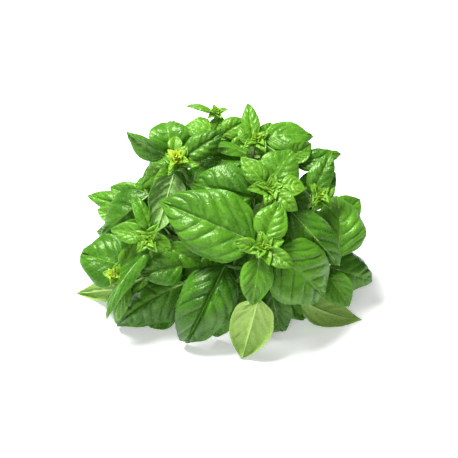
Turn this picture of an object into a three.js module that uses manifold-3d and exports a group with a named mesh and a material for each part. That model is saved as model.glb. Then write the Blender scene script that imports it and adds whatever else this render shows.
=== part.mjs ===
// A bunch of fresh basil, cut and laid on a flat surface. One main stem lies under the bunch and
// branches into eight leafy shoots. Each stem is one solid that ends in its bud, and each leaf is
// one solid: a petiole, and a blade with a midrib below. Millimetres, +Z up.
//
// The bunch has a face: the side that its growing tips turn to. It leans back, so that its outward
// normal rises FACE_RISE degrees above the surface. Places on the bunch are given in that leaning
// frame as [x, up, out]: x to the right, up the face, and out of it. Places on the ground are
// [x, y, z], with z measured from the surface.
import * as THREE from "three";
import { mergeVertices } from "three/addons/utils/BufferGeometryUtils.js";
import Module from "manifold-3d";

// Overall sizes: the length of the largest blade scales the whole layout.
const LARGEST_BLADE = 81;
const BLADE_WIDTH_SHARE = 1; // every blade's width against the widths listed below
const FACE_RISE = 40;
const CORE_HEIGHT = 60; // where the leaning frame's origin is above the surface

// Sections, each set by itself.
const BLADE_THICKNESS = 0.7;
const MIDRIB_DEPTH = 0.8;
const PETIOLE_WIDTH = 2.2;
const PETIOLE_THICKNESS = 1.6;
const LEAST_PETIOLE = 2.5;
const YOUNG_WIDTH = 18; // leaves listed narrower than this are young and yellow-green
const MAIN_STEM_RADIUS = 3.6;
const SHOOT_RADIUS = 2.2;
const SHOOT_END_RADIUS = 1.2;
const BUD_RADIUS = 2.6;
const BUD_LENGTH = 8;
const BLUNT_END = 0.3; // how far the main stem's end stands out, under the front shoot
const JOINT_GAP = 0.3; // between a stem and what grows on it
const LEAF_CLEARANCE = 0.25; // kept on both faces of a blade as it is laid, and less than JOINT_GAP

// How a leaf yields to those already laid: its tip moves away in steps, and its base by a part of them.
const YIELD_STEP = 1.5;
const MOST_YIELD = 60;
const BASE_FOLLOWS = 0.5;
const FLOOR_GIVE = 0.03; // how much of its dip below the surface a pressed blade keeps

const DESIGN_BLADE = 81; // the largest blade that the places below were laid out for
const scale = LARGEST_BLADE / DESIGN_BLADE;

// A ring has a corner at each margin, at the crest and the keel, and halfway out between those.
const AROUND = 8;
const HALFWAY_OUT = 0.5;
const LEAF_STEPS = 7;
const STEM_RINGS = 9;
const BUD_RINGS = [0.2, 0.4, 0.6, 0.8]; // where a bud's rings lie, as shares of its length
// Where each ring of the blade lies, as a share of its length; ring 0 is the petiole's start.
const BLADE_STATIONS = [0, 0.1, 0.27, 0.46, 0.66, 0.85];

// The blade's outline is a sine. Its widest place is drawn toward the base, its ends are full, and
// it grows a little leaner toward the tip.
const BASEWARD = 0.72;
const FULLNESS = 0.72;
const TIP_LEANNESS = 0.15;
const GROOVE_RISE = 0.2; // how far the groove on a petiole lies above its middle, by its thickness
const END_ON = 0.97; // the cosine past which a leaf points along OUT, and faces UP instead

// How finely distances along and from a stem are measured.
const AXIS_SAMPLES = 200;
const SHARE_STEP = 0.0005;
const LENGTH_STEP = 0.05;
const TINY = 1e-6;
const MERGE_DISTANCE = 1e-4;

const wasm = await Module();
wasm.setup();

const green = (color) => new THREE.MeshStandardMaterial({ color, roughness: 0.45, metalness: 0 });
const bladeMaterial = green(0x3f8f1f);
const youngMaterial = green(0x86c22e);
const stemMaterial = green(0x8fb64a);

const rise = THREE.MathUtils.degToRad(FACE_RISE);
const UP = new THREE.Vector3(0, Math.sin(rise), Math.cos(rise));
const OUT = new THREE.Vector3(0, -Math.cos(rise), Math.sin(rise));
const RIGHT = new THREE.Vector3(1, 0, 0);
const { lerp } = THREE.MathUtils;

function onFace([x, up, out]) {
  return new THREE.Vector3(x, 0, CORE_HEIGHT).addScaledVector(UP, up).addScaledVector(OUT, out)
    .multiplyScalar(scale);
}

function onGround([x, y, z]) {
  return new THREE.Vector3(x, y, z).multiplyScalar(scale);
}

// A cone bent to a new shape. place(ring, angle) gives a point of the side, ring 0 to steps - 1;
// start and tip are the points that close its two ends.
function bentCone(steps, place, start, tip) {
  const cone = new THREE.ConeGeometry(1, 1, AROUND, steps);
  cone.deleteAttribute("normal");
  cone.deleteAttribute("uv");
  const at = cone.attributes.position;
  for (let i = 0; i < at.count; i++) {
    const ring = Math.round((at.getY(i) + 0.5) * steps);
    const side = Math.hypot(at.getX(i), at.getZ(i)) > TINY;
    const angle = Math.atan2(at.getX(i), at.getZ(i));
    const point = ring === steps ? tip : side ? place(ring, angle) : start;
    at.setXYZ(i, point.x, point.y, point.z);
  }
  return mergeVertices(cone, MERGE_DISTANCE);
}

// ---- stems ---------------------------------------------------------------------------------

// A stem is a curve, its radius at each share of it, and the share where it starts. Its end is a
// bud or a low blunt end of some length, with rings of its own.
function stemOf(curve, radiusAt, endLength, endRings) {
  const axis = [];
  for (let i = 0; i <= AXIS_SAMPLES; i++) {
    const share = i / AXIS_SAMPLES;
    const point = curve.getPointAt(share);
    const tangent = curve.getTangentAt(share);
    axis.push({ point, tangent, radius: radiusAt(share), last: i === AXIS_SAMPLES });
  }
  return { curve, radiusAt, axis, from: 0, endShare: 1 - endLength / curve.getLength(), endRings };
}

// A point of a stem's side. The curve lies in one plane, whose normal keeps the rings in line.
function onStem({ curve, radiusAt }, share, angle) {
  const across = curve.v1.clone().sub(curve.v0).cross(curve.v2.clone().sub(curve.v1)).normalize();
  const above = curve.getTangentAt(share).cross(across);
  return curve.getPointAt(share)
    .addScaledVector(across, -Math.sin(angle) * radiusAt(share))
    .addScaledVector(above, Math.cos(angle) * radiusAt(share));
}

function stemGeometry(stem) {
  const { curve, from, endShare, endRings } = stem;
  const shares = [];
  for (let i = 0; i < STEM_RINGS; i++) shares.push(lerp(from, endShare, i / (STEM_RINGS - 1)));
  for (const share of endRings) shares.push(lerp(endShare, 1, share));
  const place = (ring, angle) => onStem(stem, shares[ring], angle);
  return bentCone(shares.length, place, curve.getPointAt(from), curve.getPointAt(1));
}

const CORNERS = Array.from({ length: AROUND }, (_, i) => (2 * Math.PI * i) / AROUND);

// The least distance from points to a stem's side, or from those beyond its end to its end face.
function standOff(points, { axis }) {
  return Math.min(...points.map((point) => {
    const apart = (at) => at.point.distanceToSquared(point);
    const nearest = axis.reduce((best, at) => (apart(at) < apart(best) ? at : best));
    const offset = point.clone().sub(nearest.point);
    const beyond = offset.dot(nearest.tangent);
    if (!nearest.last || beyond <= 0) return offset.length() - nearest.radius;
    const aside = offset.addScaledVector(nearest.tangent, -beyond).length() - nearest.radius;
    return Math.hypot(beyond, Math.max(aside, 0));
  }));
}

// How far out a ring of points has to be for all of it to clear a stem. ringAt(length) places it.
function clearLength(ringAt, stem) {
  let length = 0;
  while (standOff(ringAt(length), stem) < JOINT_GAP) length += LENGTH_STEP;
  return length;
}

const mainStem = stemOf(
  new THREE.QuadraticBezierCurve3(onGround([-3, 94, 6]), onGround([2, 30, 6]), onGround([6, -26, 36])),
  (share) => lerp(MAIN_STEM_RADIUS, SHOOT_RADIUS, share),
  BLUNT_END,
  [],
);

// Each shoot: the share of the main stem where it branches off, its bend and its growing tip. The
// front shoot carries the main stem on.
const SHOOTS = {
  front: { branch: 1, bend: [22, -34, 42], tip: [26, -15, 70] },
  crown: { branch: 0.8, bend: [20, 6, 18], tip: [32, 31, 51] },
  right: { branch: 0.7, bend: [44, -6, -4], tip: [70, 26, 32] },
  upper_left: { branch: 0.62, bend: [-22, 18, -14], tip: [-39, 52, 30] },
  top: { branch: 0.5, bend: [12, 30, -36], tip: [22, 71, 5] },
  back: { branch: 0.38, bend: [-14, 30, -62], tip: [-10, 95, -15] },
  left: { branch: 0.84, bend: [-34, 0, -22], tip: [-62, -8, 50] },
  low_left: { branch: 0.92, bend: [-44, -40, -14], tip: [-88, -36, 32] },
};

function shootOf({ branch, bend, tip }) {
  const root = mainStem.curve.getPointAt(branch);
  const curve = new THREE.QuadraticBezierCurve3(root, onFace(bend), onFace(tip));
  const budShare = 1 - BUD_LENGTH / curve.getLength();
  const radiusAt = (share) => {
    if (share <= budShare) return lerp(SHOOT_RADIUS, SHOOT_END_RADIUS, share / budShare);
    const along = (share - budShare) / (1 - budShare);
    return lerp(SHOOT_END_RADIUS, BUD_RADIUS, Math.sin(Math.PI * along));
  };
  const shoot = stemOf(curve, radiusAt, BUD_LENGTH, BUD_RINGS);
  const rim = (share) => CORNERS.map((angle) => onStem(shoot, share, angle));
  while (standOff(rim(shoot.from), mainStem) < JOINT_GAP) shoot.from += SHARE_STEP;
  return shoot;
}

const stems = { main: mainStem };
for (const [name, shoot] of Object.entries(SHOOTS)) stems[name] = shootOf(shoot);

// ---- leaves --------------------------------------------------------------------------------

// The blade's width at a share of its length, as a share of its greatest width: ovate, widest below
// the middle, with a point at each end.
function outline(along) {
  return Math.sin(Math.PI * along ** BASEWARD) ** (FULLNESS + TIP_LEANNESS * along);
}

// The blade's middle surface. side runs from -1, the left margin, to 1, the right one, seen from
// above with the tip ahead. fold turns both halves up from the midrib, and curl bends them on.
function bladeSurface(leaf, base, tip) {
  const chord = tip.clone().sub(base);
  const ahead = chord.clone().normalize();
  const facing = Math.abs(ahead.dot(OUT)) > END_ON ? UP : OUT;
  const normal = facing.clone().addScaledVector(ahead, -facing.dot(ahead)).normalize()
    .applyAxisAngle(ahead, THREE.MathUtils.degToRad(leaf.roll));
  const right = ahead.clone().cross(normal);
  const middle = base.clone().lerp(tip, 0.5).addScaledVector(normal, 2 * leaf.arch * chord.length());
  const midrib = new THREE.QuadraticBezierCurve3(base, middle, tip);
  const fold = THREE.MathUtils.degToRad(leaf.fold);
  const curl = THREE.MathUtils.degToRad(leaf.curl);
  const turn = THREE.MathUtils.degToRad(leaf.twist);
  const halfWidth = (leaf.width * BLADE_WIDTH_SHARE * scale) / 2;

  return (along, side) => {
    const tangent = midrib.getTangentAt(along);
    const across = right.clone().applyAxisAngle(tangent, turn * along);
    const above = across.clone().cross(tangent).normalize();
    const half = Math.max(halfWidth * outline(along), PETIOLE_WIDTH / 2);
    const reach = Math.abs(side);
    const angle = fold + (curl * reach) / 2;
    const point = midrib.getPointAt(along)
      .addScaledVector(across, Math.sign(side) * reach * half * Math.cos(angle))
      .addScaledVector(above, reach * half * Math.sin(angle));
    const tilt = fold + curl * reach;
    const faceNormal = above.multiplyScalar(Math.cos(tilt))
      .addScaledVector(across, -Math.sign(side) * Math.sin(tilt));
    return { point, faceNormal, across };
  };
}

// A dip below the surface is pressed back to it, and keeps a small share of its depth.
function pressed(point, halfThickness) {
  const dip = halfThickness - point.z;
  if (dip > 0) point.z = halfThickness - dip * FLOOR_GIVE;
  return point;
}

// A leaf as one solid. More thickness than the blade's own makes a copy that holds its clearance.
function leafGeometry(leaf, thickness) {
  const stem = stems[leaf.shoot];
  const root = stem.curve.getPointAt(leaf.node);
  const toBase = leaf.base.clone().sub(root).normalize();
  const growth = thickness - BLADE_THICKNESS;

  // The petiole starts with a ring square to its length, as broad as the blade's base lies.
  const bladeAcross = bladeSurface(leaf, leaf.base, leaf.tip)(0, 0).across;
  const across = bladeAcross.addScaledVector(toBase, -bladeAcross.dot(toBase)).normalize();
  const above = across.clone().cross(toBase);
  const onPetiole = (length, angle, extra = 0) => root.clone().addScaledVector(toBase, length)
    .addScaledVector(across, (Math.sin(angle) * (PETIOLE_WIDTH + extra)) / 2)
    .addScaledVector(above, (Math.cos(angle) * (PETIOLE_THICKNESS + extra)) / 2);
  const clear = clearLength((length) => CORNERS.map((angle) => onPetiole(length, angle)), stem);

  const petiole = Math.max(leaf.base.distanceTo(root) - clear, LEAST_PETIOLE);
  const base = root.clone().addScaledVector(toBase, clear + petiole);
  const surface = bladeSurface(leaf, base, leaf.tip);

  const place = (ring, angle) => {
    if (ring === 0) return onPetiole(clear, angle, growth);
    const sideways = Math.sin(angle);
    const upwards = Math.cos(angle);
    const along = BLADE_STATIONS[ring - 1];
    const onMidrib = Math.abs(sideways) < TINY;
    const onMargin = Math.abs(upwards) < TINY;
    const side = onMidrib ? 0 : Math.sign(sideways) * (onMargin ? 1 : HALFWAY_OUT);
    const { point, faceNormal } = surface(along, side);
    if (onMargin) return pressed(point, thickness / 2);
    const below = onMidrib && upwards < 0 ? MIDRIB_DEPTH * (1 - along) : 0;
    const offset = ring === 1 ? (PETIOLE_THICKNESS + growth) / 2 : thickness / 2 + below;
    return pressed(point, thickness / 2 + below).addScaledVector(faceNormal, Math.sign(upwards) * offset);
  };
  // The petiole's end is a little above its middle, in the groove that runs along its top.
  const start = root.clone().addScaledVector(toBase, clear)
    .addScaledVector(above, PETIOLE_THICKNESS * GROOVE_RISE);
  return bentCone(LEAF_STEPS, place, start, pressed(leaf.tip.clone(), thickness / 2));
}

// The leaves, from the most prominent to the least: a later leaf yields to the earlier ones.
// shoot and node: the stem it grows on and the share of it where it does. base and tip: the ends
// of the blade. roll turns the blade's upper side from facing out of the bunch, about base to tip.
// arch lifts the middle of the midrib, as a share of the blade's length.
const leaves = [];
function leaf(name, shoot, node, base, tip, width, shape = {}) {
  const form = { roll: 0, arch: 0.1, fold: 16, curl: -50, twist: 0, ...shape };
  leaves.push({ name, shoot, node, base: onFace(base), tip: onFace(tip), width, ...form });
}

leaf("front_leaf_big_left", "front", 0.72, [20, -10, 61], [-54, 22, 47], 56, { twist: -6 });
leaf("front_leaf_big_right", "front", 0.74, [34, -17, 60], [75, -54, 22], 54, { roll: -6, arch: 0.17 });
leaf("front_leaf_upper", "front", 0.86, [27, -8, 67], [39, 21, 60], 27, { fold: 24, arch: 0.12 });
leaf("front_leaf_lower", "front", 0.87, [23, -22, 68], [18, -59, 58], 26, { fold: 26, arch: 0.12 });
leaf("front_leaf_small_left", "front", 0.94, [21, -14, 72], [3, -9, 77], 12, { fold: 30 });
leaf("front_leaf_small_right", "front", 0.94, [29, -17, 72], [50, -29, 74], 15, { fold: 30 });
leaf("crown_leaf_upper_left", "crown", 0.86, [28, 35, 50], [9, 56, 46], 18, { fold: 22 });
leaf("crown_leaf_upper_right", "crown", 0.78, [33, 36, 46], [49, 62, 36], 34, { arch: 0.12 });
leaf("crown_leaf_lower_right", "crown", 0.92, [35, 27, 56], [53, 14, 58], 16, { fold: 28 });
leaf("crown_leaf_right", "crown", 0.84, [40, 34, 47], [59, 31, 42], 20, { roll: -30, fold: 22 });
leaf("crown_leaf_broad", "crown", 0.55, [20, 24, 36], [-32, 36, 28], 44, { arch: 0.15 });
leaf("crown_leaf_behind", "crown", 0.4, [12, 54, 20], [-24, 50, 18], 20, { roll: 30 });
leaf("crown_leaf_dark", "crown", 0.6, [42, 26, 28], [66, 14, 16], 22);
leaf("right_leaf_upright", "right", 0.86, [65, 28, 32], [81, 61, 28], 20, { fold: 22 });
leaf("right_leaf_behind", "right", 0.62, [54, 50, 8], [90, 60, 2], 18, { roll: -20, fold: 26 });
leaf("right_leaf_arched", "right", 0.66, [47, 15, 44], [87, -29, 32], 36,
  { fold: -22, curl: -20, arch: 0.2 });
leaf("right_leaf_round", "right", 0.5, [86, -22, 20], [86, 27, 0], 44, { arch: 0.2, roll: 8 });
leaf("right_leaf_low", "right", 0.4, [80, -30, 6], [116, -42, -14], 36, { fold: 4, arch: 0.14 });
leaf("front_leaf_pale", "front", 0.42, [23, -54, 46], [10, -102, 28], 35, { roll: 180, arch: -0.08 });
leaf("front_leaf_low_left", "front", 0.4, [-3, -28, 44], [-34, -91, 15], 47, { arch: 0.22, curl: -60 });
leaf("front_leaf_dark", "front", 0.3, [33, -48, 32], [41, -84, 2], 26, { fold: 25, arch: 0.14 });
leaf("main_leaf_folded", "main", 0.9, [56, -57, 14], [107, -75, -8], 28, { roll: 160, fold: 10 });
leaf("upper_left_leaf_long", "upper_left", 0.84, [-50, 59, 24], [-81, 77, 20], 26,
  { roll: -50, fold: 38, arch: 0.08 });
leaf("upper_left_leaf_right", "upper_left", 0.88, [-34, 57, 30], [-4, 77, 27], 21,
  { fold: 22, arch: 0.06 });
leaf("upper_left_leaf_back", "upper_left", 0.72, [-46, 62, 4], [-50, 86, -10], 32,
  { arch: 0.32, fold: 26 });
leaf("upper_left_leaf_hanging", "upper_left", 0.6, [-43, 44, 24], [-57, -3, 34], 34,
  { roll: 180, fold: -8 });
leaf("upper_left_leaf_left", "upper_left", 0.5, [-46, 48, 10], [-70, 34, 2], 26,
  { roll: 20, arch: 0.14 });
leaf("top_leaf_upright", "top", 0.93, [19, 72, 7], [15, 101, -3], 15, { fold: 26 });
leaf("top_leaf_right", "top", 0.88, [28, 73, 5], [68, 74, -4], 27, { roll: -25, arch: 0.12 });
leaf("top_leaf_front", "top", 0.8, [15, 60, 12], [-21, 63, 18], 23, { roll: 60, arch: 0.12 });
leaf("back_leaf_curved", "back", 0.95, [-13, 93, -15], [-35, 99, -18], 9, { roll: 50, arch: 0.14 });
leaf("back_leaf_bright", "back", 0.86, [-14, 80, -12], [-36, 83, -14], 20, { roll: 20, arch: 0.12 });
leaf("back_leaf_pale", "back", 0.76, [-12, 69, -4], [-40, 74, -1], 18, { roll: 10, arch: 0.12 });
leaf("back_leaf_textured", "back", 0.8, [-5, 76, -6], [14, 88, -12], 20, { arch: 0.12 });
leaf("back_leaf_rear_left", "back", 0.62, [-22, 66, -50], [-52, 58, -74], 36, { roll: 150 });
leaf("back_leaf_rear_right", "back", 0.55, [10, 60, -54], [48, 48, -76], 38, { roll: 150 });
leaf("left_leaf_pointing", "left", 0.93, [-65, -5, 50], [-92, 0, 40], 17, { fold: 24, arch: 0.12 });
leaf("left_leaf_narrow", "left", 0.86, [-63, -2, 48], [-76, 28, 42], 18, { roll: 50 });
leaf("left_leaf_big", "left", 0.5, [-62, 28, 16], [-102, -4, 6], 50, { fold: -20, arch: 0.15 });
leaf("left_leaf_behind", "left", 0.4, [-74, 17, -4], [-115, 27, -14], 20, { arch: 0.05 });
leaf("low_left_leaf_round", "low_left", 0.86, [-83, -29, 22], [-118, -19, 4], 44, { arch: 0.14 });
leaf("low_left_leaf_up", "low_left", 0.93, [-82, -30, 34], [-73, -9, 38], 15, { fold: 35 });
leaf("low_left_leaf_pale", "low_left", 0.7, [-83, -47, 12], [-125, -53, -31], 20, { roll: 180 });
leaf("low_left_leaf_long", "low_left", 0.62, [-62, -16, 46], [-96, -71, 24], 22, { roll: 50 });
leaf("low_left_leaf_edge", "low_left", 0.8, [-78, -46, 24], [-90, -76, 6], 20, { roll: 50, fold: 20 });
leaf("low_left_leaf_large", "low_left", 0.4, [-34, -42, 26], [-90, -78, 2], 56,
  { roll: 20, fold: -26, arch: 0.17 });
leaf("low_left_leaf_curled", "low_left", 0.5, [-36, -28, 40], [-69, -35, 42], 27,
  { fold: 30, arch: 0.12 });
leaf("main_leaf_rear_left", "main", 0.25, [-22, 0, -92], [-84, -22, -82], 46, { roll: 120 });
leaf("main_leaf_rear_right", "main", 0.25, [22, 4, -92], [88, -18, -78], 46, { roll: -120 });
leaf("main_leaf_right", "main", 0.6, [44, -10, -34], [110, 2, -52], 42, { arch: 0.14 });
leaf("main_leaf_left", "main", 0.6, [-44, -6, -34], [-110, -2, -52], 42, { arch: 0.14 });

// ---- the bunch -----------------------------------------------------------------------------

function solidOf(geometry) {
  return new wasm.Manifold(new wasm.Mesh({
    numProp: 3,
    vertProperties: new Float32Array(geometry.attributes.position.array),
    triVerts: new Uint32Array(geometry.index.array),
  }));
}

function meet(a, b) {
  return a.box.intersectsBox(b.box) && a.solid.intersect(b.solid).volume() > 0;
}

function laid(name, geometry, material) {
  geometry.computeBoundingBox();
  return { name, geometry, material, box: geometry.boundingBox, solid: solidOf(geometry) };
}

// The nearest place for a leaf where it and its clearance meet nothing placed before it. Each step
// tries into the face and out of it, then down and up, then left and right. A leaf that finds no
// such place stays where it is listed.
function settled(one, placed) {
  const ways = [OUT, UP, RIGHT].flatMap((way) => [way.clone().negate(), way]);
  for (let reach = 0; reach <= MOST_YIELD; reach += YIELD_STEP) {
    for (const way of ways) {
      const tip = one.tip.clone().addScaledVector(way, reach);
      const base = one.base.clone().addScaledVector(way, reach * BASE_FOLLOWS);
      const moved = { ...one, tip, base };
      const wide = laid(one.name, leafGeometry(moved, BLADE_THICKNESS + 2 * LEAF_CLEARANCE));
      if (!placed.some((other) => meet(wide, other))) return moved;
    }
  }
  return one;
}

const pieces = Object.entries(stems).map(([name, stem]) =>
  laid(name + "_stem", stemGeometry(stem), stemMaterial));
for (const one of leaves) {
  const geometry = leafGeometry(settled(one, pieces), BLADE_THICKNESS);
  pieces.push(laid(one.name, geometry, one.width < YOUNG_WIDTH ? youngMaterial : bladeMaterial));
}

const bunch = new THREE.Group();
for (const { name, geometry, material } of pieces) {
  geometry.computeVertexNormals();
  const mesh = new THREE.Mesh(geometry, material);
  mesh.name = name;
  bunch.add(mesh);
}

// The origin is under the middle of the bunch, on the surface that it lies on.
const extent = new THREE.Box3().setFromObject(bunch);
const middle = extent.getCenter(new THREE.Vector3());
bunch.position.set(-middle.x, -middle.y, -extent.min.z);

export default bunch;
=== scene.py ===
"""A bunch of fresh basil on a pale surface.

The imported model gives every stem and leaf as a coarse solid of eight-sided rings. This script reads
those rings back, and grows a fine leaf or stem over each: veins, puckers, toothed margins, a midrib
that stands out below, and the unfolding leaves of each growing tip. It adds two lists of smaller
leaves between and behind those, and fills the inside of the bunch with leaves placed at random.
"""
import zlib

import bpy
import numpy as np
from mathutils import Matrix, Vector
from mathutils.bvhtree import BVHTree


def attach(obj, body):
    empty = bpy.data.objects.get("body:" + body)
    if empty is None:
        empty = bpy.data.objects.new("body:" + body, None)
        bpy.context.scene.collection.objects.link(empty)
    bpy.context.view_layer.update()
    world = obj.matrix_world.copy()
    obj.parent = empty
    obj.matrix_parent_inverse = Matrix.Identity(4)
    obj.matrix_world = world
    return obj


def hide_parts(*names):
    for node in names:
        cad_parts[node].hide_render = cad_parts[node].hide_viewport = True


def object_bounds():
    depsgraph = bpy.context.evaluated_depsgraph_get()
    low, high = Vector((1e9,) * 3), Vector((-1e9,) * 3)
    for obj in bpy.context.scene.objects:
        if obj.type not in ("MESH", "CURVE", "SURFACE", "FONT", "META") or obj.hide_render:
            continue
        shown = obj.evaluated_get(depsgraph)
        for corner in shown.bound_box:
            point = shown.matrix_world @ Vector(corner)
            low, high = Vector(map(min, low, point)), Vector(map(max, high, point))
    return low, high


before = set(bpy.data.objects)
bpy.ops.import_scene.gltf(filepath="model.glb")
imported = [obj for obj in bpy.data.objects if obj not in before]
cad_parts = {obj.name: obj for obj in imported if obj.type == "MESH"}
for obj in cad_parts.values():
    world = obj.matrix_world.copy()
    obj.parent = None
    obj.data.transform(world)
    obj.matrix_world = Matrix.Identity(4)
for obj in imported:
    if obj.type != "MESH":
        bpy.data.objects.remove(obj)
cad_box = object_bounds()

MM = 0.001
UP = np.array([0.0, 0.0, 1.0])
RIGHT = np.array([1.0, 0.0, 0.0])
TINY = 1e-12

# The camera looks along +Y and down, at a point inside the bunch.
VIEW_ELEVATION = np.radians(40)
VIEW_DISTANCE = 1.45
VIEW_WIDTH = 0.3664  # what the frame's width covers at the aim
VIEW_AIM = np.array([4.5, -6.2, 60.4]) * MM
SENSOR_WIDTH = 36
TOWARD_VIEWER = np.array([0.0, -np.cos(VIEW_ELEVATION), np.sin(VIEW_ELEVATION)])

GRAIN = 1.0 * MM  # spacing of a fine blade's mesh
BLADE_THICKNESS = 0.38 * MM
BLADE_ROWS = (18, 96)  # the fewest and the most in that mesh
BLADE_COLUMNS = (11, 56)
BLADE_ROW_EASING = 0.94
PETIOLE_RADIUS = 1.0 * MM
PETIOLE_SIDES = 9
PETIOLE_ROWS = 10
PETIOLE_END = 2.2 * MM  # how far it runs on past its first ring, toward the inside of its stem
MIDRIB_ROWS = 22
MIDRIB_REACH = 0.86  # how far up a blade its midrib stands out below, as a share of the length
STEM_SIDES = 16
STEM_ROWS = 60
SHOOT_END = 3 * MM  # how far a shoot runs on past its first ring, into the main stem
BUD_ROWS = 8  # rows at a shoot's end that give its tip's direction
FLOOR_GAP = 0.05 * MM

RING_POINTS = 8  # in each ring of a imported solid
SIDES = np.array([-1, -0.5, 0, 0.5, 1.0])  # a control grid's columns, left margin to right margin
MIDRIB = 2  # the column in the middle

# How much of its broad and of its fine relief a blade has: the first where it meets no other.
RELIEF_TRIES = ((1, 1), (-1, 1), (0.5, 1), (-0.5, 1), (0, 1), (0, 0.5), (0, 0))

SMALL_CLEARANCE = 1.0 * MM
SMALL_FLOOR_GAP = 1 * MM
SINKING = 1.5 * MM  # how far a small leaf moves into the bunch at a time
MOST_SINKING = 30  # how many times at most

INNER_SEED = 5
INNER_TRIES = 2500
INNER_LENGTHS = (34 * MM, 66 * MM)
INNER_CLEARANCE = 1.6 * MM
INNER_FLOOR_GAP = 1.5 * MM
INNER_HEART = np.array([0.0, 0.0, 35 * MM])  # what they grow away from
REAR = 30 * MM  # past this along +Y they may reach further out
BEHIND_REACH = 50 * MM  # how close behind an inner leaf another one has to be to count
MOST_IN_THE_WAY = 0.08  # the share of an inner leaf that may stand before another one


# ---- numbers -------------------------------------------------------------------------------------


def unit(vector):
    return vector / np.linalg.norm(vector, axis=-1, keepdims=True)


def seed_of(name):
    return zlib.crc32(name.encode())


def smoothstep(low, high, value):
    share = np.clip((value - low) / (high - low), 0, 1)
    return share * share * (3 - 2 * share)


def spline(stations, values, wanted):
    """A cubic through values at rising stations, read at the wanted ones, along the first axis."""
    stations, values = np.asarray(stations, float), np.asarray(values, float)
    trailing = (1,) * (values.ndim - 1)
    steps = np.diff(stations).reshape(-1, *trailing)
    slopes = np.diff(values, axis=0) / steps
    inner = (slopes[1:] * steps[:-1] + slopes[:-1] * steps[1:]) / (steps[1:] + steps[:-1])
    first = 1.5 * slopes[:1] - 0.5 * inner[:1]
    last = 1.5 * slopes[-1:] - 0.5 * inner[-1:]
    tangents = np.concatenate([first, inner, last])
    piece = np.clip(np.searchsorted(stations, wanted, side="right") - 1, 0, len(steps) - 1)
    width = steps[piece]
    t = ((wanted - stations[piece]).reshape(-1, *trailing)) / width
    return (
        (2 * t**3 - 3 * t**2 + 1) * values[piece]
        + (t**3 - 2 * t**2 + t) * width * tangents[piece]
        + (3 * t**2 - 2 * t**3) * values[piece + 1]
        + (t**3 - t**2) * width * tangents[piece + 1]
    )


def ripple(rng, x, y, count, low, high):
    """A smooth random field, mostly between -1 and 1: sine waves of random direction and phase."""
    field = np.zeros(np.broadcast(x, y).shape)
    for _ in range(count):
        angle, phase = rng.uniform(0, 2 * np.pi, 2)
        pace = rng.uniform(low, high)
        field += np.sin(pace * (x * np.cos(angle) + y * np.sin(angle)) + phase)
    return field / np.sqrt(count)


# ---- reading the solids --------------------------------------------------------------------------


def rings_of(node):
    """A node's rings from its flat end to its tip, and the point that closes each end.

    Only the two closing points have as many neighbours as a ring has points, and the tip is the one
    that stands off its ring. A point's two neighbours in the next ring are the one in line with it
    and the one after that, counted round the node's axis by the right hand, which keeps the rings
    in line.
    """
    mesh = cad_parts[node].data
    corners = np.zeros(len(mesh.vertices) * 3)
    mesh.vertices.foreach_get("co", corners)
    points, index = np.unique(corners.reshape(-1, 3).round(7), axis=0, return_inverse=True)
    index = index.reshape(-1)
    near = [set() for _ in points]
    for edge in mesh.edges:
        a, b = index[edge.vertices[0]], index[edge.vertices[1]]
        if a != b:
            near[a].add(b)
            near[b].add(a)
    ends = [i for i, around in enumerate(near) if len(around) == RING_POINTS]
    flat, tip = sorted(ends, key=lambda i: np.linalg.norm(points[i] - points[list(near[i])].mean(0)))

    levels, done = [near[flat]], {flat}
    while True:
        done |= levels[-1]
        level = set().union(*(near[i] for i in levels[-1])) - done
        if level == {tip}:
            break
        levels.append(level)
    centres = [points[flat]] + [points[list(level)].mean(0) for level in levels] + [points[tip]]
    rings = []
    for k, level in enumerate(levels):
        order = [min(level)]
        while len(order) < RING_POINTS:
            order.append(next(i for i in near[order[-1]] & level if i not in order))
        loop = points[order] - centres[k + 1]
        area = np.cross(loop, np.roll(loop, -1, axis=0)).sum(0)
        if area @ (centres[k + 2] - centres[k]) < 0:
            order.reverse()
        if rings:
            after = dict(zip(order, order[1:] + order[:1]))
            pairs = [near[i] & level for i in rings[-1]]
            order = [next(i for i in pair if after[i] in pair) for pair in pairs]
        rings.append(order)
    return points[np.array(rings)], points[flat], points[tip]


def leaf_rings(node):
    """A leaf's rings as left margin to right margin, over the top and under the bottom, and its tip."""
    rings, flat, tip = rings_of(node)
    half, quarter = RING_POINTS // 2, RING_POINTS // 4
    broadest = rings[2:6]
    spans = np.linalg.norm(broadest[:, :half] - broadest[:, half:], axis=2).sum(0)
    margin = int(np.argmax(spans))
    groove = flat - rings[0].mean(0)
    crests = (margin + quarter, margin + half + quarter)
    crest = max(crests, key=lambda i: rings[0][i % RING_POINTS] @ groove)
    steps = range(-quarter, quarter + 1)
    over = rings[:, [(crest + step) % RING_POINTS for step in steps]]
    under = rings[:, [(crest + half - step) % RING_POINTS for step in steps]]
    return over, under, tip


# ---- meshes --------------------------------------------------------------------------------------


def add_piece(name, verts, faces, material, attributes=None, uv=None):
    """A smooth mesh object, with a number for each vertex under each attribute's name."""
    mesh = bpy.data.meshes.new(name)
    mesh.from_pydata(verts.tolist(), [], faces)
    mesh.materials.append(material)
    mesh.polygons.foreach_set("use_smooth", np.ones(len(faces), dtype=bool))
    for key, values in (attributes or {}).items():
        layer = mesh.attributes.new(key, "FLOAT", "POINT")
        layer.data.foreach_set("value", np.asarray(values, dtype=np.float32).ravel())
    if uv is not None:
        layer = mesh.uv_layers.new(name="UVMap")
        loops = np.zeros(len(mesh.loops), dtype=np.int32)
        mesh.loops.foreach_get("vertex_index", loops)
        layer.data.foreach_set("uv", uv[loops].astype(np.float32).ravel())
    mesh.validate()
    mesh.update()
    piece = bpy.data.objects.new(name, mesh)
    bpy.context.scene.collection.objects.link(piece)
    return piece


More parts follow.
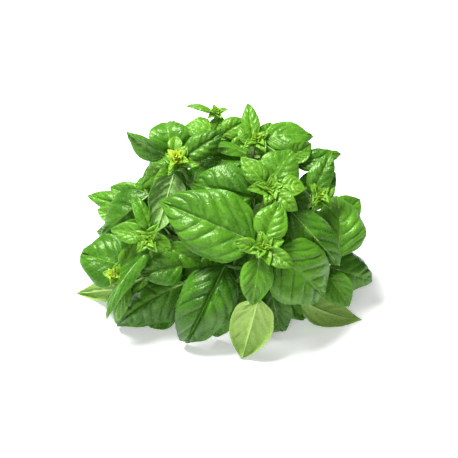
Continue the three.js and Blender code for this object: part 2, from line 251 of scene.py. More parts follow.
def grid_faces(rows, columns, first=0, flip=False, closed=False):
    """Quads of a grid of vertices, rows by columns, numbered from first."""
    faces = []
    wrap = columns if closed else columns - 1
    for row in range(rows - 1):
        for column in range(wrap):
            a = first + row * columns + column
            b = first + row * columns + (column + 1) % columns
            quad = (a, b, b + columns, a + columns)
            faces.append(quad[::-1] if flip else quad)
    return faces


class Shape:
    """Vertices, faces and vertex attributes that several parts add to before they become a piece."""

    # crease carries painted shade for the grooves of a blade.
    KEYS = ("vein", "crease", "under", "tone", "young")

    def __init__(self):
        self.verts, self.faces, self.uv = [], [], []
        self.fields = {key: [] for key in self.KEYS}
        self.count = 0

    def add(self, verts, faces, uv, **fields):
        self.faces += [tuple(i + self.count for i in face) for face in faces]
        self.verts.append(verts)
        self.uv.append(uv)
        self.count += len(verts)
        for key in self.KEYS:
            self.fields[key].append(np.broadcast_to(fields.get(key, 0.0), len(verts)))

    def piece(self, name, material):
        fields = {key: np.concatenate(values) for key, values in self.fields.items()}
        verts, uv = np.concatenate(self.verts), np.concatenate(self.uv)
        return add_piece(name, verts, self.faces, material, fields, uv)


def tube(centres, radii, sides, squareness=0.0):
    """A closed tube through centres, kept off the floor: its vertices, its faces and its UV map.

    The second number of the UV map is how far along the tube a vertex is.
    """
    centres = np.asarray(centres)
    tangents = unit(np.gradient(centres, axis=0))
    start = np.cross(tangents[0], UP if abs(tangents[0][2]) < 0.9 else RIGHT)
    across = [unit(start)]
    for tangent in tangents[1:]:
        across.append(unit(across[-1] - (across[-1] @ tangent) * tangent))
    across = np.array(across)
    above = np.cross(across, tangents)
    angles = np.linspace(0, 2 * np.pi, sides, endpoint=False)
    lobes = 1 + squareness * np.cos(4 * angles)
    rim = (
        (np.cos(angles) * lobes)[None, :, None] * across[:, None]
        + (np.sin(angles) * lobes)[None, :, None] * above[:, None]
    )
    ring = centres[:, None] + rim * np.asarray(radii)[:, None, None]
    verts = np.concatenate([ring.reshape(-1, 3), centres[:1], centres[-1:]])
    verts[:, 2] = np.maximum(verts[:, 2], FLOOR_GAP)
    rows = len(centres)
    faces = grid_faces(rows, sides, closed=True, flip=True)
    for i in range(sides):
        j = (i + 1) % sides
        faces.append((i, j, rows * sides))
        faces.append(((rows - 1) * sides + j, (rows - 1) * sides + i, rows * sides + 1))
    along = np.concatenate([np.repeat(np.linspace(0, 1, rows), sides), [0, 1]])
    uv = np.stack([np.full(len(verts), 0.5), along], axis=1)
    return verts, faces, uv


# ---- a leaf --------------------------------------------------------------------------------------

VEIN_PAIRS = 5.5
VEIN_RISE = 0.50  # how far toward the tip a side vein runs on its way to the margin
VEIN_WIDTH = 0.55 * MM
MIDRIB_WIDTH = 0.8 * MM
NET_CELL = 3.2 * MM

# The size of each feature on a blade as long as FULL_LENGTH.
FULL_LENGTH = 75 * MM
SWELL = 3.0 * MM  # the broad humps and hollows of the whole blade
WAVE = 1.1 * MM  # the waves of its margins
PUCKER = 1.45 * MM  # the bulges between its side veins
CELL = 0.65 * MM  # the blisters between its finer veins
GROOVE = 0.9 * MM  # the groove over its midrib
SUNK = 0.40 * MM  # the grooves over its side veins
TOOTH = 0.5 * MM  # how deep the notches of its margins are
RIB = 0.35 * MM  # how far its veins stand out below


def blade_relief(rng, along, side, half_width, length, broad, fine):
    """Height over the middle surface, how near a vein points are, how much painted shade they take in the
    grooves beside the side veins and in the net of finer veins, and the margin's scale.

    along runs 0 to 1 from base to tip, and side runs -1 to 1 from the left margin to the right. broad
    scales the swells and waves of the whole blade, and fine its veins and puckers.
    """
    reach = np.abs(side)
    pace = VEIN_PAIRS * (0.8 + 0.2 * min(length / (70 * MM), 1))
    offset = np.where(side > 0, 0.22, 0.0) + 0.15
    rise = VEIN_RISE * reach**1.45 * (1 - 0.45 * along)
    wander = 0.035 * ripple(rng, along * 9, side * 3, 4, 0.6, 1.6)
    phase = (along - rise + wander) * pace + offset
    between = np.abs(phase - np.round(phase)) * 2  # 0 on a side vein, 1 midway between two
    gap = length / pace / 2
    on_vein = np.exp(-((between * gap / VEIN_WIDTH) ** 2)) * smoothstep(1.02, 0.6, reach)
    on_midrib = np.exp(-((side * half_width / (MIDRIB_WIDTH * (1.25 - along))) ** 2))

    scale = length / FULL_LENGTH
    open_part = smoothstep(0, 0.16, reach) * smoothstep(1.0, 0.70, reach) * smoothstep(0, 0.1, along)
    open_part *= smoothstep(1.0, 0.86, along)
    uneven = 0.65 + 0.5 * ripple(rng, phase * 1.7, side * 4, 4, 0.6, 1.4)
    pucker = PUCKER * scale * np.sin(np.pi * between / 2) ** 0.8 * open_part * uneven
    cells = ripple(rng, phase * 2.6, side * half_width / NET_CELL, 6, 0.8, 1.6)
    in_net = smoothstep(0.30, 0.0, np.abs(cells)) * open_part
    cells = CELL * scale**0.5 * np.abs(cells) * open_part * smoothstep(0.0, 0.4, between)
    groove = -GROOVE * scale**0.5 * on_midrib * (1 - 0.6 * along)
    swell = SWELL * scale * ripple(rng, along * 5, side * 2.2, 4, 0.5, 1.3) * open_part
    wave_count = rng.uniform(1.4, 2.4)
    wave_start = rng.uniform(0, 1, 1)
    waves = np.sin(2 * np.pi * (along * wave_count + wave_start) + 1.3 * np.sign(side))
    wavy = WAVE * scale * waves * reach**3
    wavy = wavy * smoothstep(0.08, 0.3, along) * smoothstep(1.0, 0.8, along)
    sunk = SUNK * scale**0.5 * on_vein
    height = broad * (swell + wavy) + fine * (pucker + cells + groove - sunk)

    teeth = along * rng.uniform(15, 19) * (0.6 + 0.4 * scale)
    notch = (teeth - np.floor(teeth)) ** 1.6
    depth = TOOTH * scale**0.5 / np.maximum(half_width, 2 * MM)
    margin = 1 - depth * notch * smoothstep(0.12, 0.3, along)
    # Painted shade: points beside the side veins and in the net between the blisters are painted darker,
    # for the shade that falls in those grooves.
    beside_vein = np.exp(-((between * gap / ((0.25 + 0.75 * scale) * MM)) ** 2)) * open_part
    crease = np.maximum(beside_vein, 0.6 * in_net)
    return height, np.maximum(on_vein * 0.75, on_midrib), crease, margin


def add_blade(shape, seed, stations, control, young, tone, broad=1.0, fine=1.0):
    """Grows a fine blade over a control grid, stations by SIDES, that ends in the blade's tip.

    tone is how light it is, 0 to 1, and young how fresh its green is, up to 1 for a young leaf and
    to 2 or more for the yellow of a bud. Returns its middle surface, normals and stations.
    """
    rng = np.random.default_rng(seed)
    middle = control[:, MIDRIB]
    length = np.linalg.norm(np.diff(middle, axis=0), axis=1).sum()
    width = np.linalg.norm(np.diff(control, axis=1), axis=2).sum(1)
    grain = max(GRAIN * 0.55, min(GRAIN, length / 34))
    rows = int(np.clip(length / grain, *BLADE_ROWS))
    columns = int(np.clip(width.max() / grain, *BLADE_COLUMNS)) | 1  # odd, so that one is the midrib's
    along = np.linspace(0, 1, rows) ** BLADE_ROW_EASING
    side = np.sin(np.linspace(-1, 1, columns) * np.pi / 2) * 0.35 + np.linspace(-1, 1, columns) * 0.65

    lengthways = spline(stations, control, along)
    surface = spline(SIDES, lengthways.transpose(1, 0, 2), side).transpose(1, 0, 2)
    half = np.maximum(spline(stations, width / 2, along), 0)[:, None] * np.ones(columns)
    grid_u, grid_s = np.meshgrid(along, side, indexing="ij")
    height, vein, crease, margin = blade_relief(rng, grid_u, grid_s, half, length, broad, fine)
    centre = surface[:, columns // 2][:, None]
    surface = centre + (surface - centre) * (1 + (margin - 1) * np.abs(grid_s) ** 4)[..., None]

    ahead = np.gradient(surface, axis=0)
    rightward = np.gradient(surface, axis=1)
    normal = np.cross(rightward, ahead)
    normal[-1] = normal[-2]
    normal = unit(normal)
    surface = surface + normal * height[..., None]

    thin = BLADE_THICKNESS * (0.45 + 0.55 * min(length / (50 * MM), 1))
    half_thick = thin / 2 * (1 - 0.6 * np.abs(grid_s) ** 6)
    top = (surface + normal * half_thick[..., None])[:-1]
    below = half_thick + RIB * vein * min(length / (60 * MM), 1)
    bottom = (surface - normal * below[..., None])[:-1]
    tip = surface[-1, columns // 2]
    lift = np.maximum(FLOOR_GAP - np.minimum(top[..., 2], bottom[..., 2]), 0)
    top[..., 2] += lift
    bottom[..., 2] += lift

    rows -= 1
    count = rows * columns
    faces = grid_faces(rows, columns) + grid_faces(rows, columns, first=count, flip=True)
    last = (rows - 1) * columns
    end = 2 * count
    for column in range(columns - 1):
        faces.append((last + column, last + column + 1, end))
        faces.append((count + last + column + 1, count + last + column, end))
        faces.append((column + 1, column, count + column, count + column + 1))
    for row in range(rows - 1):
        a, b = row * columns, (row + 1) * columns
        faces.append((a, b, count + b, count + a))
        a, b = a + columns - 1, b + columns - 1
        faces.append((b, a, count + a, count + b))
    faces.append((last, end, count + last))
    faces.append((end, last + columns - 1, count + last + columns - 1))

    def spread(values, at_tip):
        flat = values[:-1].ravel()
        return np.concatenate([flat, flat, [at_tip]])

    verts = np.concatenate([top.reshape(-1, 3), bottom.reshape(-1, 3), tip[None]])
    verts[:, 2] = np.maximum(verts[:, 2], FLOOR_GAP)
    uv = np.stack([0.5 + spread(grid_s * half, 0) / length, spread(grid_u, 1.0)], axis=1)
    under = np.concatenate([np.zeros(count), np.ones(count), [0.0]])
    shape.add(verts, faces, uv, vein=spread(vein, 0.0), crease=spread(crease, 0.0),
              under=under, tone=tone, young=young)
    return surface, normal, along


def add_stalk(shape, start, surface, normal, along, tone, young, radius):
    """A petiole from the stem to the blade, running on below the blade as its midrib."""
    centre = surface.shape[1] // 2
    rib = np.linspace(0.0, MIDRIB_REACH, MIDRIB_ROWS)
    nearest = np.interp(rib, along, np.arange(len(along))).round().astype(int)
    rows = np.clip(nearest, 0, len(along) - 2)
    taper = radius * (0.95 - 0.82 * rib**0.8)
    under = surface[rows, centre] - normal[rows, centre] * (taper * 0.62)[:, None]
    run = under[0] - start
    reach = np.linalg.norm(run)
    sag = -normal[0, centre] * reach * 0.05
    steps = np.linspace(0, 1, PETIOLE_ROWS)[:-1]
    stalk = start + steps[:, None] * run + np.sin(np.pi * steps)[:, None] * sag
    inside = start - unit(run) * PETIOLE_END
    centres = np.concatenate([[inside], stalk, under])
    radii = np.concatenate([[radius * 1.25], radius * (1.2 - 0.2 * steps), taper])
    verts, faces, uv = tube(centres, radii, PETIOLE_SIDES)
    vein = smoothstep(0.25, 0.40, uv[:, 1])
    shape.add(verts, faces, uv, vein=vein, under=1.0, tone=0.6 * tone, young=young)


# How light the leaves with a tone of their own are, 0 dark to 1 light.
TONES = {
    "front_leaf_big_left": 0.50, "front_leaf_big_right": 0.50, "front_leaf_upper": 0.70,
    "front_leaf_lower": 0.65, "front_leaf_low_left": 0.12, "front_leaf_dark": 0.05,
    "front_leaf_pale": 1.00, "main_leaf_folded": 1.00, "crown_leaf_broad": 0.22,
    "crown_leaf_dark": 0.10, "crown_leaf_upper_right": 0.60, "crown_leaf_upper_left": 0.60,
    "left_leaf_big": 0.05, "left_leaf_pointing": 0.55, "left_leaf_narrow": 0.45,
    "upper_left_leaf_hanging": 0.15, "upper_left_leaf_back": 0.25, "upper_left_leaf_long": 0.35,
    "low_left_leaf_large": 0.15, "low_left_leaf_round": 0.30, "low_left_leaf_long": 0.30,
    "low_left_leaf_pale": 0.90, "low_left_leaf_curled": 0.20, "right_leaf_round": 0.75,
    "right_leaf_low": 0.25, "right_leaf_arched": 0.22, "right_leaf_behind": 0.30,
    "right_leaf_upright": 0.45, "top_leaf_right": 0.75, "top_leaf_upright": 0.65,
}


def leaf_piece(node, laid, material):
    """Adds the fine leaf of a node, with the first relief that meets none of the blades laid so far.

    If every relief meets one, it has the last. Returns the leaf's control grid.
    """
    over, under, tip = leaf_rings(node)
    middle = (over + under) / 2
    middle[:, MIDRIB] = over[:, MIDRIB] * 0.7 + under[:, MIDRIB] * 0.3
    control = np.concatenate([middle[1:], np.repeat(tip[None, None], len(SIDES), axis=1)])
    spans = np.linalg.norm(np.diff(control[:, MIDRIB], axis=0), axis=1)
    length = spans.sum()
    stations = np.concatenate([[0], np.cumsum(spans)]) / length
    seed = seed_of(node)
    tone = TONES.get(node, np.random.default_rng(seed + 1).uniform(0.2, 0.7))
    young = 0.6 * float(smoothstep(40 * MM, 14 * MM, length))
    for broad, fine in RELIEF_TRIES:
        shape = Shape()
        surface, normal, along = add_blade(shape, seed, stations, control, young, tone, broad, fine)
        blade = BVHTree.FromPolygons(surface.reshape(-1, 3).tolist(), grid_faces(*surface.shape[:2]))
        if not any(blade.overlap(other) for other in laid):
            break
    laid.append(blade)
    radius = PETIOLE_RADIUS * float(np.clip(length / (60 * MM), 0.5, 1.1))
    add_stalk(shape, middle[0].mean(0), surface, normal, along, tone, young, radius)
    piece = shape.piece("fine_" + node, material)
    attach(piece, "root")
    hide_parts(node)
    return control


# ---- smaller leaves between and inside -----------------------------------------------------------


class Canopy:
    """The middle surfaces of the leaves placed so far, coarsely, so that later ones keep clear."""

    def __init__(self):
        self.points, self.faces, self.tree = np.zeros((0, 3)), [], None

    def add(self, grid):
        first = len(self.points)
        self.points = np.concatenate([self.points, grid.reshape(-1, 3)])
        self.faces += grid_faces(*grid.shape[:2], first=first)
        self.tree = BVHTree.FromPolygons(self.points.tolist(), self.faces)

    def meets(self, grid, clearance):
        """Whether a leaf meets another one, as it is or moved by the clearance to either side."""
        normal = np.cross(np.gradient(grid, axis=1), np.gradient(grid, axis=0)) + TINY
        for side in (-1, 0, 1):
            sheet = grid + unit(normal) * side * clearance
            other = BVHTree.FromPolygons(sheet.reshape(-1, 3).tolist(), grid_faces(*grid.shape[:2]))
            if self.tree.overlap(other):
                return True
        return False

    def share_in_the_way(self, grid):
        """The share of a leaf's points that have another leaf behind them and none before them."""
        count = 0
        points = grid[:-1].reshape(-1, 3)
        for point in points:
            ahead = self.tree.ray_cast(Vector(point), Vector(TOWARD_VIEWER))[0]
            behind = self.tree.ray_cast(Vector(point), Vector(-TOWARD_VIEWER), BEHIND_REACH)[0]
            count += ahead is None and behind is not None
        return count / len(points)


def inside_dome(points, share):
    """Whether every point is inside a dome over the bunch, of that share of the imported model's size."""
    low, high = np.array(cad_box[0]), np.array(cad_box[1])
    middle = (low + high) / 2
    middle[2] = (high[2] - low[2]) * 0.30
    reach = (high - low) / 2
    reach[2] = high[2] - middle[2]
    flat = (points - middle) / reach
    return (np.linalg.norm(flat, axis=-1) < share).all() and points[..., 2].min() > INNER_FLOOR_GAP


def inner_leaves(canopy, paths, material):
    """Leaves that fill the bunch between its stems, each where it meets nothing placed before it."""
    rng = np.random.default_rng(INNER_SEED)
    placed = 0
    for attempt in range(INNER_TRIES):
        path = paths[attempt % len(paths)]
        at = int(rng.uniform(0.12, 0.85) * (len(path) - 2))
        root, tangent = path[at], unit(path[at + 1] - path[at])
        outward = unit(root - INNER_HEART + rng.normal(size=3) * 18 * MM)
        ahead = unit(outward + 0.35 * tangent + rng.normal(size=3) * 0.45)
        length = rng.uniform(*INNER_LENGTHS) * (1.0 - 0.35 * attempt / INNER_TRIES)
        base = root + ahead * rng.uniform(10, 30) * MM
        blade_way = unit(ahead - 0.35 * UP * rng.uniform(0, 1))
        facing = unit(base - INNER_HEART) + 0.7 * UP + rng.normal(size=3) * 0.3
        width = length * rng.uniform(0.58, 0.72)
        stations, grid = small_leaf_grid(
            base, blade_way, facing, length, width, arch=0.12, fold=np.radians(10))
        dome = 0.98 if grid[..., 1].mean() > REAR else 0.9
        if not inside_dome(grid, dome) or canopy.meets(grid, INNER_CLEARANCE):
            continue
        if canopy.share_in_the_way(grid) > MOST_IN_THE_WAY:
            continue
        canopy.add(grid)
        placed += 1
        shape = Shape()
        tone = rng.uniform(0, 0.6)
        surface, normal, along = add_blade(shape, attempt, stations, grid, 0.0, tone)
        add_stalk(shape, root, surface, normal, along, tone, 0.0, PETIOLE_RADIUS * 0.8)
        piece = shape.piece(f"inner_leaf_{placed}", material)
        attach(piece, "root")


# The small leaves that close the gaps between the larger ones. Each has the ends of its blade and its
# width, in millimetres in the leaning frame of the bunch's face: to the right, up it and out of it.
SMALL_LEAVES = [
    ("behind_upper_left_bud", (-43, 61, 22), (-42, 74, 16), 12),
    ("dark_upper_left", (-43, 47, 24), (-60, 36, 26), 13),
    ("over_left_bud", (-58, -6, 34), (-44, -20, 34), 13),
    ("under_left_bud", (-50, -14, 20), (-20, -29, 18), 20),
    ("beside_big_left", (-18, -18, 14), (-34, -38, 14), 22),
    ("back_left", (-12, 76, -14), (-6, 92, -20), 15),
    ("back_right", (-8, 72, -12), (8, 86, -18), 14),
    ("back_under", (-14, 66, -10), (12, 70, -10), 20),
    ("top_left", (18, 68, 0), (8, 84, -6), 13),
    ("top_below", (22, 62, 2), (36, 74, 0), 18),
    ("top_beside", (26, 70, -2), (34, 86, -8), 14),
    ("crown_right", (46, 56, 14), (66, 68, 6), 20),
    ("crown_above", (30, 58, 16), (46, 72, 8), 18),
    ("right_middle", (84, 8, 0), (106, 24, -8), 26),
    ("right_lower", (78, -36, 10), (96, -62, 4), 26),
    ("left_upper", (-66, 22, 6), (-96, 34, -2), 22),
    ("left_edge", (-88, 8, 6), (-106, 16, 2), 14),
    ("left_lower", (-66, -38, 14), (-84, -54, 8), 22),
    ("front_lower", (-8, -60, 30), (-10, -86, 12), 24),
    ("front_lower_right", (44, -52, 22), (60, -76, 8), 20),
    ("low_left_front", (-44, -66, 12), (-64, -82, 4), 22),
    ("low_left_under", (-56, -64, 14), (-86, -81, 4), 24),
    ("top_middle", (2, 60, 6), (18, 75, 0), 16),
    ("upper_left_gap", (-44, 54, 14), (-58, 68, 6), 16),
    ("left_gap", (-56, 22, 16), (-74, 37, 8), 16),
]

# Leaves deep inside the bunch, behind the places where one could see through it to the floor. Their
# darkest green is painted shade, for the shade that falls inside the bunch.
DEEP_LEAVES = [
    ("deep_upper_left", (-36, 34, 10), (-64, 58, 2), 32),
    ("deep_middle", (28, -8, 18), (6, -40, 12), 32),
    ("deep_low_left", (-18, -26, 6), (-50, -46, 2), 34),
    ("deep_right", (56, 20, 6), (86, 46, -2), 32),
    ("deep_front", (16, -24, 14), (-8, -56, 6), 32),
    ("deep_low_right", (36, -50, 12), (62, -82, 0), 28),
    ("deep_between", (16, -40, 22), (4, -68, 16), 24),
    ("deep_beside_middle", (6, -12, 14), (-22, -36, 8), 28),
    ("deep_far_left", (-58, -38, 4), (-86, -64, -2), 34),
    ("deep_beside_left", (-52, -6, 14), (-72, -32, 6), 28),
    ("deep_top", (-4, 50, -10), (-20, 84, -26), 30),
    ("deep_top_right", (26, 56, -6), (48, 78, -18), 30),
]

# How light the leaves of each list are, from darkest to lightest.
SMALL_TONES = (0.2, 0.8)
# The deep leaves' dark tones are painted shade.
DEEP_SHADE_TONES = (0.0, 0.1)


def small_leaves(listed, tones, canopy, paths, material):
    """The leaves of a list, each moved into the bunch until it meets nothing placed before it.

    One that never comes clear is left out.
    """
    up_face = np.cross(TOWARD_VIEWER, RIGHT)
    face_axes = np.array([RIGHT, up_face, TOWARD_VIEWER]) * MM
    stalks = np.concatenate(paths)
    for name, base, tip, width in listed:
        base, tip = (VIEW_AIM + np.array(end) @ face_axes for end in (base, tip))
        length = np.linalg.norm(tip - base)
        stations, grid = small_leaf_grid(
            base, unit(tip - base), TOWARD_VIEWER, length, width * MM, arch=0.12, fold=np.radians(14))
        for _ in range(MOST_SINKING):
            grid = grid + UP * max(SMALL_FLOOR_GAP - grid[..., 2].min(), 0)
            if not canopy.meets(grid, SMALL_CLEARANCE):
                break
            grid = grid - TOWARD_VIEWER * SINKING
        else:
            continue
        canopy.add(grid)
        shape = Shape()
        seed = seed_of(name)
        tone = np.random.default_rng(seed).uniform(*tones)
        young = float(smoothstep(30 * MM, 10 * MM, length))
        surface, normal, along = add_blade(shape, seed, stations, grid, young * 0.7, tone)
        start = stalks[np.argmin(np.linalg.norm(stalks - grid[0].mean(0), axis=1))]
        add_stalk(shape, start, surface, normal, along, tone, young, PETIOLE_RADIUS * 0.6)
        piece = shape.piece("small_leaf_" + name, material)
        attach(piece, "root")


# ---- stems and growing tips ----------------------------------------------------------------------


def stem_piece(node, material, tip_material):
    """Adds the fine stem of a node, and the growing tip of a shoot. Returns the stem's middle line."""
    rings, _, tip = rings_of(node)
    centres = np.concatenate([rings.mean(1), [tip]])
    radii = np.linalg.norm(rings - rings.mean(1, keepdims=True), axis=2).mean(1)
    run = np.linalg.norm(np.diff(centres, axis=0), axis=1)
    stations = np.concatenate([[0], np.cumsum(run)]) / run.sum()
    wanted = np.linspace(0, 1, STEM_ROWS)
    path = spline(stations, centres, wanted)
    radius = np.interp(wanted, stations, [*radii, 0.6 * MM])
    if node != "main_stem":
        back = unit(path[0] - path[1])
        path = np.concatenate([[path[0] + back * SHOOT_END], path])
        radius = np.concatenate([[radius[0] * 1.1], radius])
    bark = np.random.default_rng(seed_of(node))
    radius = radius * (1 + 0.04 * ripple(bark, np.linspace(0, 30, len(path)), 0.0, 3, 0.5, 1.5))
    verts, faces, uv = tube(path, radius, STEM_SIDES, squareness=0.05)
    piece = add_piece("fine_" + node, verts, faces, material, uv=uv)
    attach(piece, "root")
    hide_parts(node)
    if node != "main_stem":
        tip_leaves(node, tip, unit(tip - path[-BUD_ROWS]), tip_material)
    return path


def small_leaf_grid(base, ahead, facing, length, width, arch, fold):
    """A control grid for a small or unfolding leaf, with facing its upper side, and its stations.

    arch is how high its middle stands, as a share of its length, and fold the angle that each half
    of it is turned up by.
    """
    stations = np.array([0, 0.1, 0.27, 0.46, 0.66, 0.85, 1.0])
    facing = unit(facing - (facing @ ahead) * ahead)
    rightward = np.cross(ahead, facing)
    outline = np.sin(np.pi * np.minimum(stations, 0.9999) ** 0.72) ** (0.72 + 0.15 * stations)
    half = np.maximum(width / 2 * outline, 0.35 * MM)
    half[-1] = 0
    lift = np.sin(np.pi * stations) * arch * length
    spine = base + stations[:, None] * ahead * length + lift[:, None] * facing
    outward = half[:, None] * SIDES * np.cos(fold)
    upward = half[:, None] * np.abs(SIDES) * np.sin(fold)
    grid = spine[:, None] + outward[..., None] * rightward + upward[..., None] * facing
    return stations, grid


# At each growing tip: how long the outermost pair of unfolding leaves is, how many pairs there are,
# how far up the bud they climb, and how yellow they are.
TIPS = {
    "front_stem": (17, 8, 5, 0.30), "crown_stem": (17, 8, 5, 0.25), "right_stem": (15, 8, 6, 0.45),
    "upper_left_stem": (15, 12, 17, 1.60), "top_stem": (15, 8, 6, 0.50), "back_stem": (9, 6, 4, 0.45),
    "left_stem": (16, 8, 5, 0.40), "low_left_stem": (12, 9, 11, 1.60),
}


def tip_leaves(node, tip, axis, material):
    """Pairs of unfolding leaves, each pair crosswise to the last, closing over the bud."""
    longest, pairs, climb, yellow = TIPS[node]
    rng = np.random.default_rng(seed_of(node) + 7)
    axis = unit(axis + 0.8 * TOWARD_VIEWER)
    across = unit(np.cross(axis, UP) + 0.2 * rng.normal(size=3))
    shape = Shape()
    for pair in range(pairs):
        share = pair / (pairs - 1)
        open_angle = np.radians(74 - 58 * share)
        length = longest * MM * (1 - 0.62 * share)
        for half_turn in (0, 1):
            turn = np.pi * half_turn + pair * np.radians(90) + rng.normal() * 0.2
            outward = across * np.cos(turn) + np.cross(axis, across) * np.sin(turn)
            outward = unit(outward - (outward @ axis) * axis)
            ahead = unit(axis * np.cos(open_angle) + outward * np.sin(open_angle))
            base = tip + axis * (share * climb - 4) * MM + outward * 0.9 * MM
            size = length * rng.uniform(0.85, 1.15)
            stations, grid = small_leaf_grid(
                base, ahead, axis - 0.2 * outward, size, size * 0.68, arch=0.18, fold=np.radians(22))
            seed = seed_of(node) + pair * 2 + half_turn
            young = 0.45 + 0.5 * share + yellow * share
            add_blade(shape, seed, stations, grid, young, rng.uniform(0.3, 1))
    piece = shape.piece("tip_leaves_" + node.removesuffix("_stem"), material)
    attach(piece, "root")


# ---- materials -----------------------------------------------------------------------------------


class Nodes:
    """A small helper that adds nodes to a new material and links them."""

    def __init__(self, name):
        self.material = bpy.data.materials.new(name)
        self.material.use_nodes = True
        self.tree = self.material.node_tree
        self.tree.nodes.clear()

    def put(self, node, key, value):
        socket = node.inputs[key]
        if isinstance(value, bpy.types.NodeSocket):
            self.tree.links.new(value, socket)
        else:
            socket.default_value = value

    def field(self, name):
        node = self.tree.nodes.new("ShaderNodeAttribute")
        node.attribute_name = name
        return node.outputs["Fac"]

    def math(self, operation, a, b=0.0, clamp=False):
        node = self.tree.nodes.new("ShaderNodeMath")
        node.operation = operation
        node.use_clamp = clamp
        self.put(node, 0, a)
        self.put(node, 1, b)
        return node.outputs[0]

    def mix(self, share, a, b):
        node = self.tree.nodes.new("ShaderNodeMix")
        node.data_type = "RGBA"
        self.put(node, 0, share)
        self.put(node, 6, a)  # the colours' sockets come after those for numbers and vectors
        self.put(node, 7, b)
        return node.outputs[2]

    def noise(self, scale, detail):
        where = self.tree.nodes.new("ShaderNodeTexCoord")
        node = self.tree.nodes.new("ShaderNodeTexNoise")
        self.put(node, "Vector", where.outputs["Object"])
        self.put(node, "Scale", scale)
        self.put(node, "Detail", detail)
        self.put(node, "Roughness", 0.55)
        return node.outputs["Fac"]

    def cells(self, scale):
        """How far inside a cell of an irregular net a point is, 0 on the net."""
        where = self.tree.nodes.new("ShaderNodeTexCoord")
        node = self.tree.nodes.new("ShaderNodeTexVoronoi")
        node.feature = "DISTANCE_TO_EDGE"
        self.put(node, "Vector", where.outputs["Object"])
        self.put(node, "Scale", scale)
        return node.outputs["Distance"]

    def bump(self, height, strength, distance):
        node = self.tree.nodes.new("ShaderNodeBump")
        self.put(node, "Height", height)
        self.put(node, "Strength", strength)
        self.put(node, "Distance", distance)
        return node.outputs["Normal"]

    def shader(self, colour, roughness, normal):
        node = self.tree.nodes.new("ShaderNodeBsdfPrincipled")
        self.put(node, "Base Color", colour)
        self.put(node, "Roughness", roughness)
        self.put(node, "Normal", normal)
        return node

    def ramp(self, value, low, high):
        node = self.tree.nodes.new("ShaderNodeMapRange")
        node.interpolation_type = "SMOOTHSTEP"
        self.put(node, "Value", value)
        self.put(node, "From Min", low)
        self.put(node, "From Max", high)
        return node.outputs["Result"]

    def finish(self, shader):
        out = self.tree.nodes.new("ShaderNodeOutputMaterial")
        self.tree.links.new(shader, out.inputs["Surface"])
        return self.material


DEEP_GREEN = (0.008, 0.064, 0.002, 1)
LEAF_GREEN = (0.112, 0.325, 0.016, 1)
YOUNG_GREEN = (0.170, 0.380, 0.022, 1)
BUD_YELLOW = (0.480, 0.600, 0.030, 1)
VEIN_GREEN = (0.210, 0.450, 0.040, 1)
PALE_UNDER = (0.330, 0.500, 0.115, 1)
GREY_UNDER = (0.095, 0.225, 0.050, 1)
UNDER_VEIN = (0.460, 0.660, 0.220, 1)
SHEEN_TINT = (0.80, 1.00, 0.55, 1)
STEM_GREEN = (0.16, 0.32, 0.05, 1)
STEM_STREAK = (0.29, 0.47, 0.11, 1)
STEM_BROWN = (0.26, 0.22, 0.10, 1)
FLOOR_GREY = (0.93, 0.93, 0.93, 1)
WHITE = (1, 1, 1, 1)
NET_PACE = 420  # cells of the fine net of veins per metre
NET_WIDTH = 0.16  # of a vein in that net, as a share of a cell


def leaf_material():
    n = Nodes("basil_leaf")
    vein, crease, under, tone, young = (n.field(key) for key in Shape.KEYS)
    net = n.cells(NET_PACE)
    net_vein = n.ramp(net, NET_WIDTH, 0.0)
    patches = n.ramp(n.noise(38, 2), 0.30, 0.72)
    shade = n.math("ADD", n.math("MULTIPLY", patches, 0.35), n.math("MULTIPLY", tone, 0.65))
    above = n.mix(shade, DEEP_GREEN, LEAF_GREEN)
    above = n.mix(n.math("MULTIPLY", young, 0.85, clamp=True), above, YOUNG_GREEN)
    above = n.mix(n.ramp(young, 1.0, 2.0), above, BUD_YELLOW)
    above = n.mix(n.math("MULTIPLY", net_vein, 0.10), above, VEIN_GREEN)
    # Painted shade: the grooves beside the veins and the net take the darkest green, less on young
    # leaves.
    depth = n.math("SUBTRACT", 0.60, n.math("MULTIPLY", young, 0.30))
    above = n.mix(n.math("MULTIPLY", crease, depth, clamp=True), above, DEEP_GREEN)
    fine_vein = n.math("POWER", vein, 4.0)
    above = n.mix(n.math("MULTIPLY", fine_vein, 0.50), above, VEIN_GREEN)
    below = n.mix(tone, GREY_UNDER, PALE_UNDER)
    below = n.mix(n.math("MULTIPLY", n.ramp(n.noise(60, 2), 0.3, 0.7), 0.3), below, GREY_UNDER)
    below = n.mix(n.math("MULTIPLY", net_vein, 0.22), below, UNDER_VEIN)
    below = n.mix(n.math("MULTIPLY", fine_vein, 0.7), below, UNDER_VEIN)
    colour = n.mix(under, above, below)

    rough = n.math("ADD", n.math("MULTIPLY", under, 0.22), n.math("MULTIPLY", n.noise(120, 2), 0.18))
    rough = n.math("ADD", rough, 0.25)
    blister = n.math("MULTIPLY", n.noise(230, 2), 0.9)
    relief = n.math("ADD", blister, n.math("MULTIPLY", n.ramp(net, 0.0, 0.5), 0.30))
    shader = n.shader(colour, rough, n.bump(relief, 0.42, 0.0012))
    n.put(shader, "IOR", 1.43)
    n.put(shader, "Specular IOR Level", 0.5)
    n.put(shader, "Specular Tint", SHEEN_TINT)
    n.put(shader, "Subsurface Weight", 0.2)
    n.put(shader, "Subsurface Radius", (0.4, 1.0, 0.15))
    n.put(shader, "Subsurface Scale", 0.0012)
    return n.finish(shader.outputs["BSDF"])


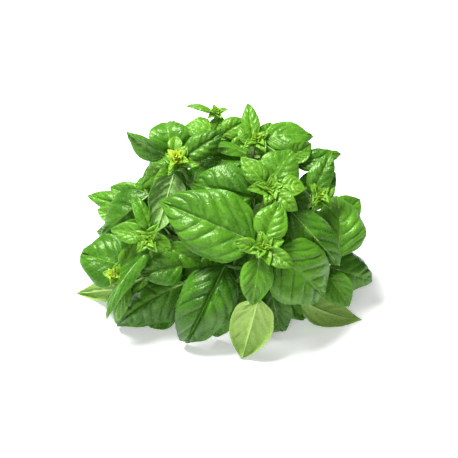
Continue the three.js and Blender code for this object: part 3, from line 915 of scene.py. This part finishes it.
def stem_material():
    n = Nodes("basil_stem")
    streak = n.ramp(n.noise(260, 3), 0.3, 0.7)
    colour = n.mix(streak, STEM_GREEN, STEM_STREAK)
    patches = n.math("MULTIPLY", n.ramp(n.noise(45, 2), 0.55, 0.8), 0.35)
    colour = n.mix(patches, colour, STEM_BROWN)
    rough = n.math("ADD", n.math("MULTIPLY", streak, 0.15), 0.38)
    shader = n.shader(colour, rough, n.bump(n.noise(700, 3), 0.3, 0.0005))
    n.put(shader, "Subsurface Weight", 0.2)
    n.put(shader, "Subsurface Radius", (0.6, 1.0, 0.2))
    n.put(shader, "Subsurface Scale", 0.002)
    return n.finish(shader.outputs["BSDF"])


def floor_material():
    n = Nodes("pale_floor")
    shader = n.tree.nodes.new("ShaderNodeBsdfPrincipled")
    n.put(shader, "Base Color", FLOOR_GREY)
    n.put(shader, "Roughness", 0.7)
    n.put(shader, "Specular IOR Level", 0.2)
    n.put(shader, "Emission Color", WHITE)
    n.put(shader, "Emission Strength", 0.32)
    return n.finish(shader.outputs["BSDF"])


# ---- the studio ----------------------------------------------------------------------------------

FLOOR_REACH = 3.0
LIGHTS_AIM = (0, 0, 0.05)


def look_at(thing, place, aim):
    thing.location = Vector(place)
    thing.rotation_euler = (Vector(aim) - Vector(place)).to_track_quat("-Z", "Y").to_euler()


def add_camera():
    data = bpy.data.cameras.new("camera")
    data.sensor_width = SENSOR_WIDTH
    data.lens = SENSOR_WIDTH * VIEW_DISTANCE / VIEW_WIDTH
    data.clip_start = 0.05
    data.clip_end = 20
    camera = bpy.data.objects.new("camera", data)
    bpy.context.scene.collection.objects.link(camera)
    look_at(camera, VIEW_AIM + TOWARD_VIEWER * VIEW_DISTANCE, VIEW_AIM)
    bpy.context.scene.camera = camera


def add_light(name, place, size, power):
    data = bpy.data.lights.new(name, "AREA")
    data.shape = "DISK"
    data.size = size
    data.energy = power
    light = bpy.data.objects.new(name, data)
    bpy.context.scene.collection.objects.link(light)
    look_at(light, place, LIGHTS_AIM)


def add_floor(material):
    corners = np.array([[-1, -1, 0], [1, -1, 0], [1, 1, 0], [-1, 1, 0]]) * FLOOR_REACH
    floor = add_piece("floor", corners, [(0, 1, 2, 3)], material)


def add_world(strength):
    world = bpy.data.worlds.new("studio")
    world.use_nodes = True
    background = world.node_tree.nodes["Background"]
    background.inputs["Color"].default_value = WHITE
    background.inputs["Strength"].default_value = strength
    bpy.context.scene.world = world


# ---- the scene -----------------------------------------------------------------------------------

leaf = leaf_material()
stem = stem_material()
canopy = Canopy()
laid = []
by_name = sorted(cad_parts)
paths = [stem_piece(node, stem, leaf) for node in by_name if node.endswith("_stem")]
leaf_nodes = [node for node in by_name if not node.endswith("_stem")]
# The other leaves yield to those of the front shoot, which are the most prominent.
for node in sorted(leaf_nodes, key=lambda node: not node.startswith("front")):
    canopy.add(leaf_piece(node, laid, leaf))
small_leaves(SMALL_LEAVES, SMALL_TONES, canopy, paths, leaf)
small_leaves(DEEP_LEAVES, DEEP_SHADE_TONES, canopy, paths, leaf)
inner_leaves(canopy, paths, leaf)

add_floor(floor_material())
add_camera()
add_world(strength=0.25)
add_light("key", place=(-0.44, 0.14, 1.34), size=0.6, power=43)
add_light("front", place=(-0.25, -1.25, 1.0), size=0.5, power=6)
bpy.context.scene.view_settings.view_transform = "Standard"
